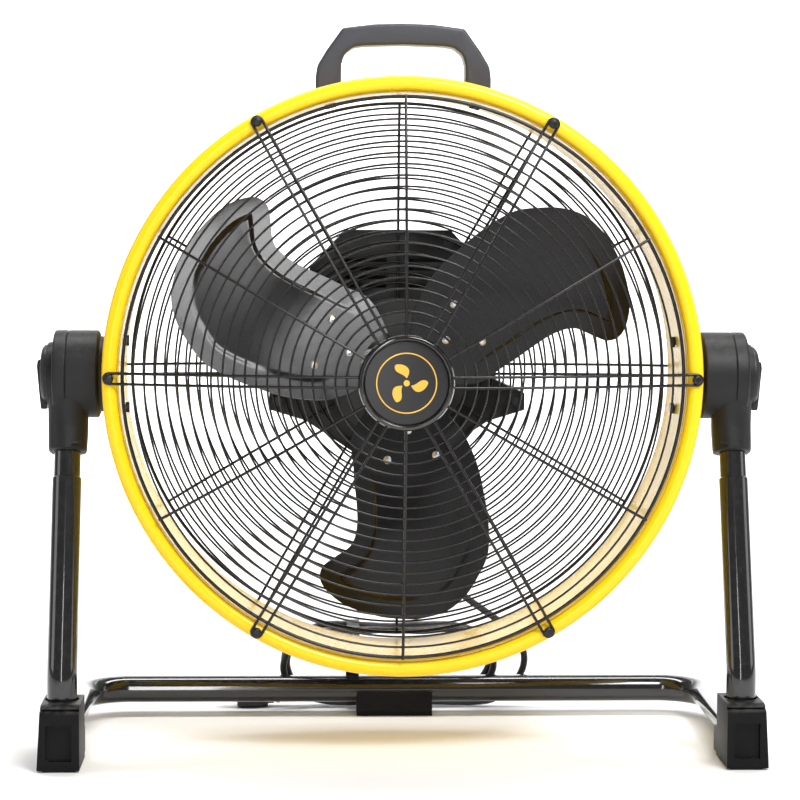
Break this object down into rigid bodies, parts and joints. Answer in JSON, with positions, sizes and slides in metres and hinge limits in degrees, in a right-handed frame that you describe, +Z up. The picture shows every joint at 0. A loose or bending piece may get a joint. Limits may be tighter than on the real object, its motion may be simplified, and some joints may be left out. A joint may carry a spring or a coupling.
{
  "type": "drum floor fan",
  "caption": "Drum floor fan: a round drum with wire grilles and a riveted rotor, tilting on side pivots in a bent tube stand with moulded feet and a top handle.",
  "frame": {"origin": "on the floor, under the middle of the fan without its cord", "axes": "+X to the fan's right seen from the front, +Y towards the back (the air leaves towards -Y), +Z up"},
  "size_m": [0.74, 0.3372, 0.736],
  "materials": {
    "gloss_black_tube": "gloss black powder coat on steel tube",
    "foot_plastic": "moulded black plastic, fine grain",
    "rubber_pad": "black rubber",
    "zinc_steel": "zinc plated or ground steel",
    "black_steel": "blackened screw steel",
    "pivot_plastic": "moulded dark grey plastic, satin",
    "lever_plastic": "moulded black plastic, satin",
    "yellow_paint": "gloss yellow enamel on sheet steel",
    "handle_plastic": "moulded slate grey plastic, fine grain",
    "grille_wire": "semi-gloss black coated steel wire",
    "badge_gloss": "high gloss black plastic",
    "badge_face": "black plastic with a plain printed gold mark",
    "motor_paint": "dark grey paint",
    "copper_winding": "varnished copper and laminations",
    "housing_plastic": "moulded black plastic, fine grain",
    "capacitor_case": "plain aluminium can",
    "switch_body": "ivory phenolic",
    "cord_jacket": "black PVC jacket",
    "blade_paint": "satin black coat on pressed sheet metal",
    "rivet_aluminium": "bare aluminium",
    "tie_strap": "black hook-and-loop strap",
    "plug_plastic": "moulded black PVC"
  },
  "bodies": {
    "stand": {"left_leg_tube": "gloss_black_tube", "right_leg_tube": "gloss_black_tube", "leg_stubs": "gloss_black_tube", "base_tube": "gloss_black_tube", "left_foot": "foot_plastic", "right_foot": "foot_plastic", "rubber_feet": "rubber_pad", "rear_foot_pad": "foot_plastic", "foot_screws": "zinc_steel", "left_pivot_socket": "pivot_plastic", "right_pivot_socket": "pivot_plastic", "cord_lead": "cord_jacket", "cord_hank": "cord_jacket", "cord_tie": "tie_strap", "power_plug": "plug_plastic"},
    "head": {"drum_shell": "yellow_paint", "left_pivot_hub": "pivot_plastic", "right_pivot_hub": "pivot_plastic", "pivot_bolts": "zinc_steel", "hub_bolts": "black_steel", "carry_handle": "handle_plastic", "handle_bolts": "black_steel", "front_grille": "grille_wire", "rear_grille": "grille_wire", "grille_screws": "black_steel", "grille_clamp_plate": "grille_wire", "badge_ring": "badge_gloss", "badge_disc": "badge_face", "motor_plate": "grille_wire", "motor_can": "motor_paint", "stator_core": "copper_winding", "motor_bearings": "zinc_steel", "motor_bolts": "zinc_steel", "rear_housing": "housing_plastic", "housing_front": "housing_plastic", "housing_screws": "black_steel", "run_capacitor": "capacitor_case", "speed_switch": "switch_body", "cord_gland": "cord_jacket"},
    "rotor": {"blade_a": "blade_paint", "blade_b": "blade_paint", "blade_c": "blade_paint", "blade_spider": "blade_paint", "blade_rivets": "rivet_aluminium", "motor_shaft": "zinc_steel", "armature": "zinc_steel", "hub_nut": "zinc_steel"},
    "speed_knob": {"speed_knob": "lever_plastic"},
    "left_lever": {"left_lock_lever": "lever_plastic"},
    "right_lever": {"right_lock_lever": "lever_plastic"}
  },
  "joints": [
    {"name": "head_tilt", "type": "hinge", "parent": "stand", "child": "head", "pos_m": [0, -0.015, 0.381], "axis": [1, 0, 0], "range_deg": [-90, 90], "deforming": ["cord_lead"]},
    {"name": "rotor_spin", "type": "hinge", "parent": "head", "child": "rotor", "pos_m": [0, -0.015, 0.381], "axis": [0, -1, 0], "continuous": true},
    {"name": "speed_knob_turn", "type": "hinge", "parent": "head", "child": "speed_knob", "pos_m": [0, 0.131, 0.443], "axis": [0, 1, 0], "range_deg": [0, 135]},
    {"name": "left_lock_turn", "type": "hinge", "parent": "stand", "child": "left_lever", "pos_m": [-0.36, -0.015, 0.381], "axis": [-1, 0, 0], "range_deg": [0, 90]},
    {"name": "right_lock_turn", "type": "hinge", "parent": "stand", "child": "right_lever", "pos_m": [0.36, -0.015, 0.381], "axis": [1, 0, 0], "range_deg": [0, 90]}
  ]
}
